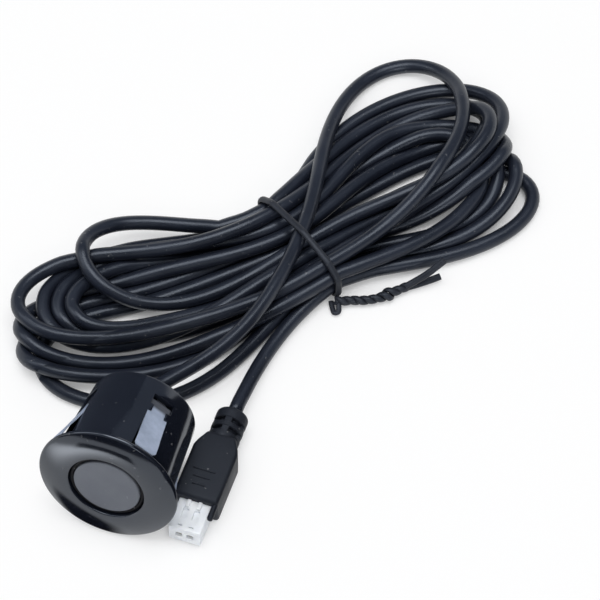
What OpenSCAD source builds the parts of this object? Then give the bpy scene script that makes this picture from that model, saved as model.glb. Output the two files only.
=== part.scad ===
// Submersible ultrasonic probe with its coaxial cable, twist tie and two-way plug.
// The probe lies on its side on the table: its flange and the heel of its skirt touch it.
// +Y runs level from the probe's face to its rear, +X is to the right, +Z is up.

/* [Flange] */
// Outer diameter of the flange
flange_d = 24.8; // [24:0.1:28]
// Radius of the flange's full-round rim
rim_r = 0.7; // [0.5:0.05:1]
// How far the face's crest stands in front of the rim
crown = 0.4; // [0.2:0.05:0.6]
// Diameter of the face's crest
crest_d = 17; // [16:0.1:18]
// How far the face falls from the crest to the ring
dish = 0.3; // [0:0.05:0.5]

/* [Skirt] */
// Diameter of the skirt where it meets the flange
skirt_front_d = 21.2; // [20.6:0.1:22]
// Diameter of the skirt at its heel
skirt_rear_d = 18.8; // [18.4:0.1:19.4]
// Length of the housing from face to heel
housing_len = 18.7; // [18:0.1:22]
// Wall of the skirt
skirt_wall = 1.3; // [1:0.05:1.35]
// Radius of the heel's edge
heel_r = 0.3; // [0.1:0.05:0.5]
// Thickness of the flange's web inside the skirt
web_t = 1.8; // [1.5:0.1:2.2]

/* [Windows] */
// Number of windows and springs
window_n = 4; // [4]
// Angle of the first window, from the top towards +X
window_at = 30; // [20:1:40]
// Width of a window at the flange
window_w = 4.4; // [4:0.1:5]
// Width of a window at its rear end
window_rear_w = 4; // [3.8:0.1:4.4]
// Width between the two tabs that hold the spring
neck_w = 2.8; // [2.4:0.1:3]
// Length of each tab along the probe
tab_len = 1.5; // [1:0.1:1.8]
// Place of the tabs' front edge, from the face
tab_at = 11.7; // [11.4:0.1:12]
// Place of the window's rear edge, from the face
window_end = 15.4; // [15.2:0.1:15.6]

/* [Transducer] */
// Diameter of the can and its grey face
can_d = 11.9; // [11:0.1:12.2]
// Length of the can
can_len = 8.4; // [7:0.1:9]
// Side wall of the can
can_wall = 0.6; // [0.4:0.05:0.8]
// Thickness of the can's face
can_face = 0.8; // [0.6:0.05:1]
// Edge radius of the can's face
can_edge = 0.25; // [0.1:0.05:0.4]
// Thickness of the silicone ring
ring_t = 0.78; // [0.6:0.02:0.85]
// Diameter of the piezo disc
piezo_d = 7; // [6:0.1:9]
// Thickness of the piezo disc
piezo_t = 0.7; // [0.4:0.05:1]
// Thickness of the damping pad
pad_t = 2.4; // [1:0.1:3]
// Thickness of the terminal plate
plate_t = 1; // [0.8:0.1:1.4]
// Distance between the two terminal pins
pin_pitch = 3.2; // [2.5:0.1:4]
// Diameter of a terminal pin
pin_d = 0.7; // [0.5:0.05:0.9]
// Diameter of a bare lead
lead_d = 0.5; // [0.3:0.05:0.6]

/* [Capsule] */
// Outer diameter of the capsule that holds the transducer
capsule_d = 15.4; // [15.2:0.1:15.6]
// Length of the cylindrical seat at the heel
seat_len = 2.3; // [2:0.1:2.4]
// Diameter of the seat at the heel
seat_d = 16; // [15.8:0.1:16.2]
// Depth of the potting below the heel
potting_drop = 0.5; // [0.2:0.1:1]

/* [Springs] */
// Thickness of a leaf spring
spring_t = 0.35; // [0.25:0.05:0.4]
// How far a spring's tip lies from the probe's axis
spring_reach = 11.7; // [11.4:0.1:12.1]
// Gap at each side of a spring
spring_gap = 0.1; // [0.05:0.05:0.2]

/* [Cable] */
// Diameter of the cable
cable_d = 2.6; // [2.2:0.1:3]
// Diameter of the boot at the potting
boot_d = 5.6; // [5:0.1:7]
// Diameter of the boot's tip
boot_tip_d = 3.6; // [3.4:0.1:4.4]
// Length of the boot outside the housing
boot_len = 4; // [3:0.1:6]
// Layers of cable in the hank
hank_layers = 2; // [2:1:3]

/* [Plug] */
// Width of the plug's hood
hood_w = 8; // [7.6:0.1:8.6]
// Height of the hood
hood_h = 6.2; // [5.8:0.1:7]
// Length of the hood's straight part
hood_len = 10.2; // [9:0.1:12]
// Length of the hood's shoulder
shoulder_len = 3.4; // [2.5:0.1:4]
// Diameter of the slotted collar
collar_d = 5.7; // [5.4:0.1:6]
// Length of the collar
collar_len = 5.9; // [5:0.1:7]
// Width of each of the collar's slots along the cable
slot_w = 0.95; // [0.6:0.05:1.1]
// Height of the grip ribs on the hood
rib_h = 0.2; // [0.1:0.05:0.3]

/* [Connector] */
// Width of the white connector
conn_w = 5.7; // [5.4:0.1:5.9]
// Height of the white connector
conn_h = 4; // [3.8:0.1:4.4]
// Length of the connector in front of the hood
conn_out = 5.8; // [5:0.1:7]
// Length of the connector inside the hood
conn_in = 5.6; // [4:0.1:6.5]
// Distance between the two contacts
contact_pitch = 2; // [2:0.1:2.2]
// Side of a contact's square box
contact_w = 1; // [0.8:0.05:1.1]
// Length of a contact's box
contact_len = 6.4; // [5:0.1:7]
// Gap round a contact in its cavity
contact_gap = 0.08; // [0.05:0.01:0.12]

/* [Twist tie] */
// Diameter of the covered wire
tie_d = 1.1; // [0.9:0.05:1.3]
// Length of one full twist of the two ends
twist_pitch = 3.4; // [2.8:0.1:4.5]

/* [Hidden] */
$fn = 96;
// Small gap between pieces that fit face to face
snug = 0.02;
// Gap of a push fit between two mouldings
push_gap = 0.05;
// Gap at each end of a slanted lead
lead_gap = 0.12;
// Length of the bare core and screen between the pins and the jacket
core_len = 2.6;

// Rim and heel of the housing, along the probe's axis from the face
rim_at = crown + rim_r;
heel_at = housing_len - heel_r;
flange_back = rim_at + rim_r;
skirt_slope = (skirt_front_d - skirt_rear_d) / 2 / (housing_len - flange_back);
function skirt_r(s) = skirt_front_d / 2 - (s - flange_back) * skirt_slope;
function bore_r(s) = skirt_r(s) - skirt_wall;
seat_at = housing_len - seat_len;

// How the probe comes to rest: both rounded edges touch the table
rim_centre = flange_d / 2 - rim_r;
heel_centre = skirt_rear_d / 2 - heel_r;
tilt = atan2(rim_centre - heel_centre, heel_at - rim_at)
    + asin((rim_r - heel_r) / norm([rim_centre - heel_centre, heel_at - rim_at]));
face_z = rim_centre * cos(tilt) + rim_at * sin(tilt) + rim_r;
face_lo = rim_at * cos(tilt) - rim_centre * sin(tilt) - rim_r;
heel_hi = heel_at * cos(tilt) + heel_centre * sin(tilt) + heel_r;
face_y = -(face_lo + heel_hi) / 2;

// Transducer, along the probe's axis from the face
ring_r = can_d / 2 + ring_t;
can_at = dish + 0.05;
ring_at = can_at + 0.25;
can_end = can_at + can_len;
piezo_at = can_at + can_face;
pad_at = piezo_at + piezo_t;
plate_at = can_end - plate_t - 0.2;
pin_out = 1.8;
pin_end = plate_at + plate_t + pin_out;
collar_wall = 0.9;
collar_end = flange_back + web_t;
capsule_at = collar_end + push_gap;
capsule_end = housing_len - 0.3;
capsule_bore = ring_r + push_gap;
ring_end = can_end + 0.4;
potting_at = ring_end + snug;
potting_end = housing_len - potting_drop;
jacket_at = pin_end + core_len;
boot_foot = 1.6;
boot_at = potting_end - boot_foot;
boot_end = housing_len + boot_len;
cable_r = cable_d / 2;

// Spring's side view: place along the axis and distance of its outer face from the axis
root_r = capsule_d / 2 + 0.17 + spring_t;
root_end = window_end + 0.7;
root_w = 1.8;
window_front = flange_back + 0.1;
leaf_tip = window_front + 0.4;
leaf_rise = spring_reach - root_r;
spring_line = [
    [root_end, root_r], [window_end - 0.1, root_r],
    [window_end - 0.8, root_r + leaf_rise * 0.21], [tab_at + tab_len, root_r + leaf_rise * 0.28],
    [tab_at - 0.1, root_r + leaf_rise * 0.37], [tab_at * 0.6, root_r + leaf_rise * 0.7],
    [leaf_tip + 2, spring_reach - 0.22], [leaf_tip + 0.7, spring_reach],
    [leaf_tip, spring_reach - 0.06]
];
function window_half(s) =
    (window_w + (window_rear_w - window_w) * (s - window_front) / (window_end - window_front)) / 2;

// Plug's place: its axis runs along Y at this X, and the table carries the hood
plug_x = 13.5;
hood_y = -2.5;
shoulder_y = hood_y + hood_len;
collar_y = shoulder_y + shoulder_len;
collar_tip_y = collar_y + collar_len;
conn_z = 0.7;
conn_y = hood_y - conn_out;
conn_back = hood_y + conn_in;
cable_z = hood_h / 2;
hood_round = 0.6;
pocket_gap = 0.06;
contact_z = conn_z + conn_h / 2;
contact_y = conn_y + 0.5;
contact_back = contact_y + contact_len;
chamber_y = conn_back + 4.6;

// Cable's route over the hank and through the large loop, chosen by hand on the table
boot_tip_y = face_y + boot_end * cos(tilt);
boot_tip_z = face_z - boot_end * sin(tilt);
hank_h = hank_layers * cable_d;
over = hank_h + cable_r;
tail_route = [
    [0, boot_tip_y, boot_tip_z], [0, boot_tip_y + 1.6 * cos(tilt), boot_tip_z - 1.6 * sin(tilt)],
    [2.2, 18.4, over + 1], [4.6, 21.4, over + 0.3], [6.9, 24.9, over], [9.6, 30.2, over],
    [11.6, 36, over], [13, 43.6, over], [13.4, 50, over], [13, 57, over],
    [12, 64.6, over], [10.8, 71, over - 0.2], [10, 77, over - 1.8], [9.9, 83, cable_r + 1.4],
    [10.8, 89, cable_r + 0.3], [14, 95.4, cable_r + 0.1], [19.4, 98.6, cable_r + 0.6],
    [25.6, 97.6, cable_r + 2.8], [30, 93.4, over], [32.8, 86, over], [32.8, 78, over],
    [31, 70.4, over], [27.6, 63, over], [24.4, 57.4, over - 0.3], [22, 54, over - 1.3]
];
lead_route = [
    [plug_x, collar_tip_y, cable_z], [plug_x, collar_tip_y + 1.5, cable_z],
    [plug_x, 21.4, cable_z - 0.5], [13.8, 26, cable_z - 1], [14.4, 30.6, cable_r + 0.4],
    [15.4, 35, cable_r + 0.3]
];

// Hank's outline from above: two fans of loops joined by a waist, each circle [x, y, radius]
hank_waist = [13, 53, 9.9];
hank_left = [[-14, 40.6, 11], [-22.6, 26.4, 9.6], [-18.6, 18.8, 8.2], [1.8, 20.6, 4.6]];
hank_right = [[29.6, 85.6, 9.6], [36.4, 76.4, 11], [42.8, 77.2, 8.8]];
tie_at = [13, 53];
tie_turn = -33;
tie_span = 22.4;
tie_top = hank_h + cable_d;

// Route of the tie's twisted ends and of each loose end
twist_route = [
    [22.4, 46.8, tie_d + 0.3], [23.6, 46.2, tie_d + 0.1], [26.6, 47, tie_d + 0.1],
    [30.6, 49.6, tie_d + 0.1], [33.8, 53, tie_d + 0.1]
];
end_routes = [
    [[33.8, 53, tie_d + 0.6], [36.2, 55, tie_d + 2.2], [38.4, 57.4, tie_d + 4.4]],
    [[33.8, 53, tie_d], [36.2, 54.4, tie_d], [38.6, 56, tie_d + 0.4]]
];

// Smooth curve through hand-chosen points
function bend(a, b, c, d, t) =
    0.5 * (2 * b + (c - a) * t + (2 * a - 5 * b + 4 * c - d) * t * t
    + (3 * b - a - 3 * c + d) * t * t * t);
function clamp_at(p, i) = p[max(0, min(len(p) - 1, i))];
function smooth(p, n) = [
    for (i = [0 : len(p) - 2]) for (k = [0 : n - 1])
        bend(clamp_at(p, i - 1), p[i], p[i + 1], clamp_at(p, i + 2), k / n),
    p[len(p) - 1]
];
function unit(v) = v / norm(v);
function along(p, i) = unit(clamp_at(p, i + 1) - clamp_at(p, i - 1));
function side_of(v) = unit(cross([0, 0, 1], v));
function ring_at_point(p, i, r, sides, spin) =
    let (t = along(p, i), a = side_of(t), b = cross(t, a))
    [for (k = [0 : sides - 1]) let (w = 360 * (k + 0.5) / sides + spin)
        p[i] + r * (cos(w) * a + sin(w) * b)];

// Closed tube swept along a path of points
module tube(path, r, sides = 8) {
    n = len(path);
    points = [for (i = [0 : n - 1]) each ring_at_point(path, i, r, sides, 0)];
    walls = [for (i = [0 : n - 2]) for (k = [0 : sides - 1])
        let (a = i * sides + k, b = i * sides + (k + 1) % sides)
        [a, a + sides, b + sides, b]];
    first = [for (k = [0 : sides - 1]) k];
    last = [for (k = [sides - 1 : -1 : 0]) (n - 1) * sides + k];
    polyhedron(points, concat(walls, [first, last]));
}

// One of two strands that wind round a path
function wound(path, r, pitch, start) = [
    for (i = [0 : len(path) - 1])
        let (t = along(path, i), a = side_of(t), b = cross(t, a),
            w = start + 360 * i * norm(path[1] - path[0]) / pitch)
        path[i] + r * (cos(w) * a + sin(w) * b)
];

// Straight round bar between two points
module bar(p, q, d) {
    v = q - p;
    translate(p)
        rotate([0, acos(v[2] / norm(v)), atan2(v[1], v[0])])
            cylinder(h = norm(v), d = d, $fn = 32);
}

// Points of a quarter or half round, as [distance from the axis, place along it]
function arc(c, r, from, to, n = 8) =
    [for (i = [0 : n]) let (a = from + (to - from) * i / n) c + r * [cos(a), sin(a)]];

// Puts a piece drawn along +Z, face at 0, into the probe's place on the table
module lay_probe() {
    translate([0, face_y, face_z])
        rotate([-90 - tilt, 0, 0])
            children();
}

// Turns a piece drawn towards +X to a window, by its angle from the top
module at_window(i) {
    rotate([0, 0, window_at + i * 360 / window_n - 90])
        children();
}

// Outline of a window, drawn with X across it and Y along the probe
module window_outline() {
    f = window_half(window_front);
    t = window_half(tab_at);
    u = window_half(tab_at + tab_len);
    e = window_half(window_end);
    n = neck_w / 2;
    polygon([
        [-f, window_front], [f, window_front], [t, tab_at], [n, tab_at], [n, tab_at + tab_len],
        [u, tab_at + tab_len], [e, window_end], [-e, window_end], [-u, tab_at + tab_len],
        [-n, tab_at + tab_len], [-n, tab_at], [-t, tab_at]
    ]);
}

// Cuts outward through the skirt, in the shape of a child drawn across and along it
module through_skirt(from_r, to_r) {
    translate([from_r, 0, 0])
        rotate([90, 0, 90])
            linear_extrude(to_r - from_r)
                children();
}

// Face from the ring up to its crest, and from the crest down to the rim
function face_line() =
    let (inner = ring_r + push_gap, crest = crest_d / 2, outer = rim_centre + 0.24 * rim_r)
    concat(
        [for (i = [0 : 3]) [inner + (crest - inner) * i / 4, dish * pow(1 - i / 4, 2)]],
        [for (i = [0 : 5]) [crest + (outer - crest) * i / 6, (rim_at - 0.97 * rim_r) * pow(i / 6, 2)]]
    );

module housing_section() {
    polygon(concat(
        face_line(),
        arc([rim_centre, rim_at], rim_r, -76, 90, 12),
        [[skirt_front_d / 2 + 0.35, flange_back], [skirt_r(flange_back + 0.35), flange_back + 0.35]],
        arc([heel_centre, heel_at], heel_r, 4, 90, 6),
        [[seat_d / 2, housing_len], [seat_d / 2, seat_at], [bore_r(seat_at), seat_at - 0.1],
        [bore_r(collar_end - 0.6), collar_end - 0.6],
        [ring_r + push_gap + collar_wall, collar_end - 0.6],
        [ring_r + push_gap + collar_wall, collar_end], [ring_r + push_gap, collar_end]]
    ));
}

module outer_housing() {
    color("#14161d")
        lay_probe()
            difference() {
                rotate_extrude()
                    housing_section();
                for (i = [0 : window_n - 1])
                    at_window(i)
                        through_skirt(capsule_d / 2, flange_d / 2)
                            window_outline();
            }
}

module capsule() {
    color("#1b1d22")
        lay_probe()
            rotate_extrude()
                polygon([
                    [capsule_bore, capsule_at], [capsule_d / 2, capsule_at],
                    [capsule_d / 2, seat_at + 0.2], [seat_d / 2 - push_gap, seat_at + 0.4],
                    [seat_d / 2 - push_gap, capsule_end - 0.3],
                    [seat_d / 2 - push_gap - 0.3, capsule_end], [capsule_bore, capsule_end]
                ]);
}

module isolating_ring() {
    inner = can_d / 2 + snug;
    middle = (inner + ring_r) / 2;
    half = (ring_r - inner) / 2;
    color("#0b0c0f")
        lay_probe()
            rotate_extrude()
                polygon(concat(
                    arc([middle, ring_at + half], half, -180, 0),
                    [[ring_r, ring_end], [inner - can_wall, ring_end],
                    [inner - can_wall, can_end + snug], [inner, can_end + snug]]
                ));
}

module transducer_can() {
    r = can_d / 2;
    color("#6f7278")
        lay_probe()
            rotate_extrude()
                polygon(concat(
                    [[0, can_at]],
                    arc([r - can_edge, can_at + can_edge], can_edge, -90, 0, 5),
                    [[r, can_end], [r - can_wall, can_end], [r - can_wall, piezo_at], [0, piezo_at]]
                ));
}

module piezo_disc() {
    color("#c9b98a")
        lay_probe()
            translate([0, 0, piezo_at + snug])
                cylinder(h = piezo_t - 2 * snug, d = piezo_d);
}

module damping_pad() {
    color("#d8d2c0")
        lay_probe()
            difference() {
                translate([0, 0, pad_at])
                    cylinder(h = pad_t, d = can_d - 2 * can_wall - 2 * push_gap);
                for (side = [-1, 1])
                    translate([side * pin_pitch / 2, 0, pad_at - 1])
                        cylinder(h = pad_t + 2, d = lead_d + 0.3, $fn = 32);
            }
}

module terminal_plate() {
    color("#b58a4a")
        lay_probe()
            difference() {
                translate([0, 0, plate_at])
                    cylinder(h = plate_t, d = can_d - 2 * can_wall - 2 * push_gap);
                for (side = [-1, 1])
                    translate([side * pin_pitch / 2, 0, plate_at - 1])
                        cylinder(h = plate_t + 2, d = pin_d + 2 * snug, $fn = 32);
            }
}

module terminal_pins() {
    color("#d9d9d2")
        lay_probe()
            for (side = [-1, 1])
                translate([side * pin_pitch / 2, 0, plate_at - 0.6])
                    cylinder(h = pin_end - plate_at + 0.6, d = pin_d, $fn = 32);
}

module piezo_leads() {
    color("#b4413a")
        lay_probe()
            for (side = [-1, 1])
                translate([side * pin_pitch / 2, 0, pad_at])
                    cylinder(h = plate_at - 0.6 - snug - pad_at, d = lead_d, $fn = 32);
}

// Core and screen run from the pins to the end of the jacket
module core_leads(grow = 0) {
    color("#c9ccd0")
        lay_probe()
            for (side = [-1, 1])
                bar([side * pin_pitch / 2, 0, pin_end + lead_gap - grow],
                    [side * 0.5, 0, jacket_at - lead_gap + grow], lead_d + 2 * grow);
}

module cable_end() {
    color("#15171c")
        lay_probe()
            translate([0, 0, jacket_at])
                cylinder(h = boot_end - jacket_at, d = cable_d);
}

module potting() {
    color("#2b2c30")
        difference() {
            lay_probe()
                translate([0, 0, potting_at])
                    cylinder(h = potting_end - potting_at, r = capsule_bore - snug);
            lay_probe() {
                translate([0, 0, jacket_at - snug])
                    cylinder(h = housing_len, d = cable_d + 2 * snug);
                translate([0, 0, boot_at])
                    cylinder(h = housing_len, d = boot_d + 2 * snug);
                for (side = [-1, 1])
                    translate([side * pin_pitch / 2, 0, 0])
                        cylinder(h = pin_end + snug, d = pin_d + 2 * snug, $fn = 32);
            }
            core_leads(snug);
        }
}

module cable_boot() {
    color("#101216")
        lay_probe()
            rotate_extrude()
                polygon(concat(
                    [[cable_r + snug, boot_at + snug], [boot_d / 2, boot_at + snug],
                    [boot_d / 2, potting_end + 0.5]],
                    arc([boot_tip_d / 2 - 0.4, boot_end - 0.4], 0.4, 12, 90, 5),
                    [[cable_r + snug, boot_end]]
                ));
}

// Spring's outline across and along the probe: leaf, neck between the tabs, ears and root
module spring_outline() {
    g = spring_gap;
    n = neck_w / 2 - g;
    f = window_half(leaf_tip) - g;
    t = window_half(tab_at) - g;
    u = window_half(window_end) - g;
    back = tab_at + tab_len + 2 * g;
    polygon([
        [-f + 0.5, leaf_tip], [f - 0.5, leaf_tip], [f, leaf_tip + 0.5], [t, tab_at - g], [n, tab_at - g],
        [n, back], [u, back], [u, window_end - 0.5], [root_w / 2, window_end - 0.3],
        [root_w / 2, root_end], [-root_w / 2, root_end], [-root_w / 2, window_end - 0.3],
        [-u, window_end - 0.5], [-u, back], [-n, back], [-n, tab_at - g], [-t, tab_at - g],
        [-f, leaf_tip + 0.5]
    ]);
}

module spring(i) {
    n = len(spring_line);
    outer = [for (p = spring_line) [p[1], p[0]]];
    inner = [for (k = [n - 1 : -1 : 0]) [spring_line[k][1] - spring_t, spring_line[k][0]]];
    color("#b9c4d6")
        lay_probe()
            at_window(i)
                intersection() {
                    rotate([90, 0, 0])
                        linear_extrude(2 * window_w, center = true)
                            polygon(concat(outer, inner));
                    through_skirt(0, flange_d)
                        spring_outline();
                }
}

module spring_right() {
    spring(0);
}

module spring_lower() {
    spring(1);
}

module spring_under() {
    spring(2);
}

module spring_left() {
    spring(3);
}

module cable_tail() {
    color("#15171c")
        tube(smooth(tail_route, 2), cable_r);
}

module plug_lead() {
    color("#15171c")
        tube(smooth(lead_route, 2), cable_r);
}

module disc(c) {
    translate([c[0], c[1]])
        circle(r = c[2], $fn = 40);
}

module fan(circles) {
    hull() {
        disc(hank_waist);
        for (c = circles)
            disc(c);
    }
}

// The tie's slot through and under the hank, or its closed band
module tie_band(grow) {
    w = tie_d + 2 * grow;
    translate([tie_at[0], tie_at[1], 0])
        rotate([0, 0, tie_turn])
            rotate([90, 0, 0])
                linear_extrude(w, center = true)
                    difference() {
                        band_outline(tie_d / 2 + grow);
                        band_outline(-tie_d / 2 - grow);
                    }
}

// Band's middle line, grown or shrunk: flat on the table, rounded over the bundle
module band_outline(d) {
    half = tie_span / 2;
    lo = tie_d / 2 + 0.05 - d;
    hi = tie_top + tie_d / 2 + 0.05 + d;
    r = 2.2 + d;
    polygon(concat(
        arc([-half - d + r, lo + r], r, 180, 270, 6), arc([half + d - r, lo + r], r, 270, 360, 6),
        arc([half + d - r, hi - r], r, 0, 90, 6), arc([-half - d + r, hi - r], r, 90, 180, 6)
    ));
}

module cable_hank() {
    color("#15171c")
        difference() {
            linear_extrude(hank_h)
                union() {
                    fan(hank_left);
                    fan(hank_right);
                }
            tie_band(push_gap);
        }
}

module twist_tie() {
    path = smooth(twist_route, 6);
    color("#1c1e24") {
        tie_band(0);
        for (k = [0, 1]) {
            tube(wound(path, tie_d / 2 - 0.02, twist_pitch, 180 * k), tie_d / 2, 6);
            tube(smooth(end_routes[k], 4), tie_d / 2, 6);
        }
    }
}

// Hood from above, drawn in by a margin: straight sides, then shoulders to the collar
module hood_outline(inset) {
    w = hood_w / 2 - inset;
    c = collar_d / 2 - 0.2 - inset;
    polygon([
        [-w, hood_y + inset], [w, hood_y + inset], [w, shoulder_y], [c, collar_y],
        [-c, collar_y], [-w, shoulder_y]
    ]);
}

module hood_body() {
    hull()
        for (i = [0 : 3]) {
            a = 90 * i / 3;
            rise = hood_round * (1 - sin(a));
            translate([plug_x, 0, rise])
                linear_extrude(hood_h - 2 * rise)
                    hood_outline(hood_round * (1 - cos(a)));
        }
}

// Collar's solid of revolution along the cable: rings on a core tube
module collar_rings() {
    pitch = (collar_len - 0.4) / 3;
    core = cable_r + 0.6;
    translate([plug_x, collar_y, cable_z])
        rotate([-90, 0, 0]) {
            translate([0, 0, -0.3])
                cylinder(h = collar_len - 0.2, r = core);
            for (k = [0 : 2])
                translate([0, 0, k * pitch - 0.3])
                    cylinder(h = pitch - slot_w + 0.3, d = collar_d);
            rotate_extrude()
                polygon(concat(
                    [[0, 2 * pitch], [collar_d / 2, 2 * pitch]],
                    arc([collar_d / 2 - 0.9, collar_len - 0.9], 0.9, 0, 90, 6),
                    [[0, collar_len]]
                ));
            for (a = [0, 90, 180, 270])
                rotate([0, 0, a])
                    translate([-0.6, 0, -0.3])
                        cube([1.2, collar_d / 2 - 0.1, collar_len - 0.8]);
        }
}

// Short raised lines across the hood's top, shorter towards the connector
module grip_ribs() {
    for (k = [0 : 2])
        translate([plug_x - 0.4, hood_y + 2.6 + 1.5 * k, hood_h])
            cube([2.4 + 0.8 * k, 0.3, 2 * rib_h], center = true);
}

module guard_leg() {
    thick = 1;
    reach = 3.4;
    tall = 2.6;
    translate([plug_x + conn_w / 2 + 0.15, 0, contact_z - tall / 2])
        linear_extrude(tall)
            union() {
                translate([0, hood_y - reach + thick / 2])
                    square([thick, reach]);
                translate([thick / 2, hood_y - reach + thick / 2])
                    circle(d = thick, $fn = 24);
            }
}

module plug_hood() {
    color("#191b21")
        difference() {
            union() {
                hood_body();
                collar_rings();
                grip_ribs();
                guard_leg();
            }
            translate([plug_x - conn_w / 2 - pocket_gap, hood_y - 1, conn_z - pocket_gap])
                cube([conn_w + 2 * pocket_gap, conn_in + 1 + pocket_gap, conn_h + 2 * pocket_gap]);
            translate([plug_x - conn_w / 2 + 0.6, hood_y, conn_z + 0.5])
                cube([conn_w - 1.2, chamber_y - hood_y, conn_h - 0.6]);
            translate([plug_x, chamber_y - 0.5, cable_z])
                rotate([-90, 0, 0])
                    cylinder(h = hood_len + collar_len + 4, r = cable_r + snug);
        }
}

module connector_housing() {
    half = contact_pitch / 2;
    color("#eef1f4")
        difference() {
            union() {
                translate([plug_x - conn_w / 2, conn_y, conn_z])
                    cube([conn_w, conn_out + conn_in, conn_h]);
                for (side = [-1, 1])
                    translate([plug_x + side * half - 0.35, hood_y - 1.5, conn_z + conn_h - 0.5])
                        cube([0.7, 1.5 - snug, 1]);
            }
            for (side = [-1, 1]) {
                translate([plug_x + side * half - contact_w / 2 - contact_gap, conn_y - 1,
                    contact_z - contact_w / 2 - contact_gap])
                    cube([contact_w + 2 * contact_gap, conn_out + conn_in + 2,
                        contact_w + 2 * contact_gap]);
                translate([plug_x + side * half - 0.5, conn_y + 2.2, conn_z + conn_h - 0.5])
                    cube([1, 2, 1]);
                translate([plug_x + side * half - 0.4, conn_y + 0.6, conn_z + conn_h - 0.4])
                    cube([0.8, 0.3, 1]);
            }
        }
}

// Square socket with a crimped tail
module contact(side) {
    color("#cfc7a6")
        difference() {
            union() {
                translate([plug_x + side * contact_pitch / 2 - contact_w / 2, contact_y,
                    contact_z - contact_w / 2])
                    cube([contact_w, contact_len, contact_w]);
                translate([plug_x + side * contact_pitch / 2 - contact_w / 2,
                    contact_back - snug, contact_z - contact_w / 2])
                    cube([contact_w, conn_back - contact_back - 0.3, contact_w * 0.45]);
            }
            translate([plug_x + side * contact_pitch / 2 - 0.3, contact_y - 1, contact_z - 0.3])
                cube([0.6, contact_len - 0.6, 0.6]);
        }
}

module contact_left() {
    contact(-1);
}

module contact_right() {
    contact(1);
}

module plug_wires() {
    color("#b4413a")
        for (side = [-1, 1])
            bar([plug_x + side * contact_pitch / 2, conn_back - 0.3 + snug, contact_z],
                [plug_x + side * 0.5, collar_tip_y - collar_len - 2, cable_z], lead_d);
    color("#15171c")
        translate([plug_x, collar_tip_y - collar_len - 2, cable_z])
            rotate([-90, 0, 0])
                cylinder(h = collar_len + 2, r = cable_r);
}

outer_housing();
capsule();
isolating_ring();
transducer_can();
piezo_disc();
damping_pad();
terminal_plate();
terminal_pins();
piezo_leads();
core_leads();
cable_end();
potting();
cable_boot();
spring_right();
spring_lower();
spring_under();
spring_left();
cable_tail();
cable_hank();
plug_lead();
twist_tie();
plug_hood();
connector_housing();
contact_left();
contact_right();
plug_wires();
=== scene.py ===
import bpy
import numpy as np
from mathutils import Matrix, Vector


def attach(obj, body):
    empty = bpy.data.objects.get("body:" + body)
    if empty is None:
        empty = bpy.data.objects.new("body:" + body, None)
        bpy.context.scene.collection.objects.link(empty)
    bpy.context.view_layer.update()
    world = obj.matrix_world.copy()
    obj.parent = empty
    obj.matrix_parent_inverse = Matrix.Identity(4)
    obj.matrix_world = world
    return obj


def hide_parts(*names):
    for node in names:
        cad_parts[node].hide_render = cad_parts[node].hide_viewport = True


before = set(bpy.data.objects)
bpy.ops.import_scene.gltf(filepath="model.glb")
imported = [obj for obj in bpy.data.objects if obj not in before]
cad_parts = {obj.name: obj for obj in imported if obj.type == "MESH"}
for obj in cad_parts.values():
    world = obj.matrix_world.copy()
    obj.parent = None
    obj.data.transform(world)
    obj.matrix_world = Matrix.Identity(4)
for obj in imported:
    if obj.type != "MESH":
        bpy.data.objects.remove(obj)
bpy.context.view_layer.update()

# Camera: a long lens looks down on the probe's face from the front right, as a catalogue
# photographer would, with the hank of cable running away to the upper right.
EYE = Vector((0.14896, -0.34135, 0.629))
AIM = Vector((0.01597, 0.04484, 0.0))
FOCAL_LENGTH, SENSOR = 255, 36
lens = bpy.data.cameras.new("camera")
lens.lens, lens.sensor_width = FOCAL_LENGTH, SENSOR
camera = bpy.data.objects.new("camera", lens)
camera.location = EYE
camera.rotation_euler = (AIM - EYE).to_track_quat("-Z", "Y").to_euler()
bpy.context.scene.collection.objects.link(camera)
bpy.context.scene.camera = camera


# Cable: one length of black coaxial cable with a soft PVC jacket, moulded into the plug at one
# end and into the probe's boot at the other. It is wound in eight turns that a twist tie holds at
# the waist, with one large loop of the probe's end laid on top. Sizes in mm, metres at the end.
CABLE_D = 2.6
CABLE_R = CABLE_D / 2
JACKET_SIDES = 14
POINT_GAP = 1.3
# the waist, where the tie grips: its place, the directions across and along it, its half width
WAIST = np.array([13.0, 53.2])
ACROSS = np.array([np.cos(np.radians(-33)), np.sin(np.radians(-33))])
LENGTHWISE = np.array([-ACROSS[1], ACROSS[0]])
WAIST_HALF = 11.2
# the tie: its thickness inside the grip, how high it lifts the cable and the slope beside it, how
# far across that reaches, and how the grip's room widens away from it
TIE_INSET, TIE_LIFT, TIE_SLOPE, TIE_REACH, GRIP_FLARE = 0.55, 1.2, 6, 12.5, 0.3
# height of one layer as it is wound, and of the cable where it nears the boot
LAYER, BOOT_Z = 2.75, 8.2
# settling: its steps, the shares of them where the late and the last part begin, and how far the
# cable falls in an early and in a late step
SETTLE_STEPS, LATE_FROM, LAST_FROM, FALL, LATE_FALL = 620, 0.7, 0.88, 0.075, 0.015
# the jacket's stiffness over spans of points, before and in the last part, the pull back to the
# plan, the gap within which strands are watched, and the most that six points may sag
STIFFNESS = ((1, 0.3, 0.3), (3, 0.2, 0.05), (6, 0.06, 0.015))
PLAN_PULL, WATCHED, MOST_SAG = 0.03, 1.2, 1.2
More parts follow.
